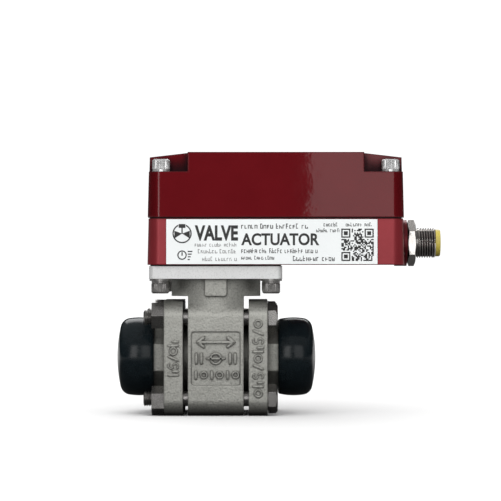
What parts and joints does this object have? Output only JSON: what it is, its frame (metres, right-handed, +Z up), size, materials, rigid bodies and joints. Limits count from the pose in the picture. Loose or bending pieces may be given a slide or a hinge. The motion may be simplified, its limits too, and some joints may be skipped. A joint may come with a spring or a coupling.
{
  "type": "motorized valve actuator",
  "caption": "Quarter-turn electric valve actuator in a red two-part housing, bolted by a square plate onto a three-piece threaded ball valve with push-on dust caps.",
  "frame": {"origin": "centre of the valve body's underside, on the stem axis", "axes": "+X along the pipe towards the electrical connector, +Y to the back, +Z up the stem"},
  "size_m": [0.129, 0.0545, 0.1033],
  "materials": {
    "cast_stainless": "shot-blasted casting",
    "machined_stainless": "machined",
    "bright_stainless": "bright",
    "spring_steel": "dark satin",
    "gear_steel": "oiled",
    "black_steel": "black oxide",
    "blasted_aluminium": "bead-blasted",
    "red_base_paint": "anodised satin red",
    "red_cover_paint": "anodised semi-gloss dark red",
    "black_vinyl": "soft vinyl, semi-gloss",
    "black_rubber": "matt",
    "seat_plastic": "fluoropolymer",
    "bronze": "machined",
    "copper": "enamelled winding",
    "green_board": "solder mask",
    "component_plastic": "moulded",
    "nickel_plate": "nickel plate",
    "yellow_insert": "moulded",
    "gold_plate": "gold plate",
    "lead_insulation": "extruded",
    "printed_label": "printed polyester film"
  },
  "bodies": {
    "housing": {"valve_body": "cast_stainless", "left_end_fitting": "cast_stainless", "right_end_fitting": "cast_stainless", "body_bolts": "machined_stainless", "body_nuts": "machined_stainless", "left_seat": "seat_plastic", "right_seat": "seat_plastic", "body_seals": "seat_plastic", "stem_thrust_washer": "seat_plastic", "stem_packing": "seat_plastic", "gland_ring": "machined_stainless", "mounting_plate": "blasted_aluminium", "plate_gasket": "black_rubber", "plate_screws": "black_steel", "plate_washers": "black_steel", "plate_lock_washers": "black_steel", "pad_screws": "machined_stainless", "base_housing": "red_base_paint", "cover_housing": "red_cover_paint", "cover_gasket": "black_rubber", "cover_screws": "bright_stainless", "cover_washers": "bright_stainless", "lower_bush": "bronze", "shaft_seal": "black_rubber", "upper_bush": "bronze", "intermediate_axle": "machined_stainless", "gear_plate": "blasted_aluminium", "gear_plate_standoffs": "machined_stainless", "gear_plate_screws": "machined_stainless", "motor_can": "machined_stainless", "motor_flange": "machined_stainless", "motor_coil": "copper", "motor_screws": "machined_stainless", "control_board": "green_board", "board_components": "component_plastic", "board_standoffs": "machined_stainless", "board_screws": "machined_stainless", "connector_shell": "nickel_plate", "connector_seal": "black_rubber", "connector_insert": "yellow_insert", "connector_pins": "gold_plate", "connector_leads": "lead_insulation", "motor_leads": "lead_insulation", "rating_label": "printed_label"},
    "drive": {"ball": "machined_stainless", "stem": "machined_stainless", "belleville_washers": "spring_steel", "stem_nut": "machined_stainless", "output_shaft": "machined_stainless", "retaining_ring": "spring_steel", "output_gear": "gear_steel", "position_magnet": "spring_steel"},
    "intermediate": {"intermediate_gear": "gear_steel"},
    "rotor": {"motor_rotor": "spring_steel", "motor_shaft": "machined_stainless", "motor_pinion": "bronze"},
    "left_cap": {"left_dust_cap": "black_vinyl"},
    "right_cap": {"right_dust_cap": "black_vinyl"}
  },
  "joints": [
    {"name": "valve_turn", "type": "hinge", "parent": "housing", "child": "drive", "pos_m": [0, 0, 0.0226], "axis": [0, 0, -1], "range_deg": [0, 90]},
    {"name": "intermediate_spin", "type": "hinge", "parent": "housing", "child": "intermediate", "pos_m": [0.027, 0, 0.07], "axis": [0, 0, -1], "range_deg": [-257.2, 0]},
    {"name": "rotor_spin", "type": "hinge", "parent": "housing", "child": "rotor", "pos_m": [0.051, 0, 0.08], "axis": [0, 0, -1], "range_deg": [0, 771.5]},
    {"name": "left_cap_pull", "type": "slide", "parent": "housing", "child": "left_cap", "axis": [-1, 0, 0], "range_m": [0, 0.06]},
    {"name": "right_cap_pull", "type": "slide", "parent": "housing", "child": "right_cap", "axis": [1, 0, 0], "range_m": [0, 0.06]}
  ],
  "couplings": [
    {"joint": "intermediate_spin", "follows": "valve_turn", "ratio": -2.8571},
    {"joint": "rotor_spin", "follows": "valve_turn", "ratio": 8.5714}
  ]
}
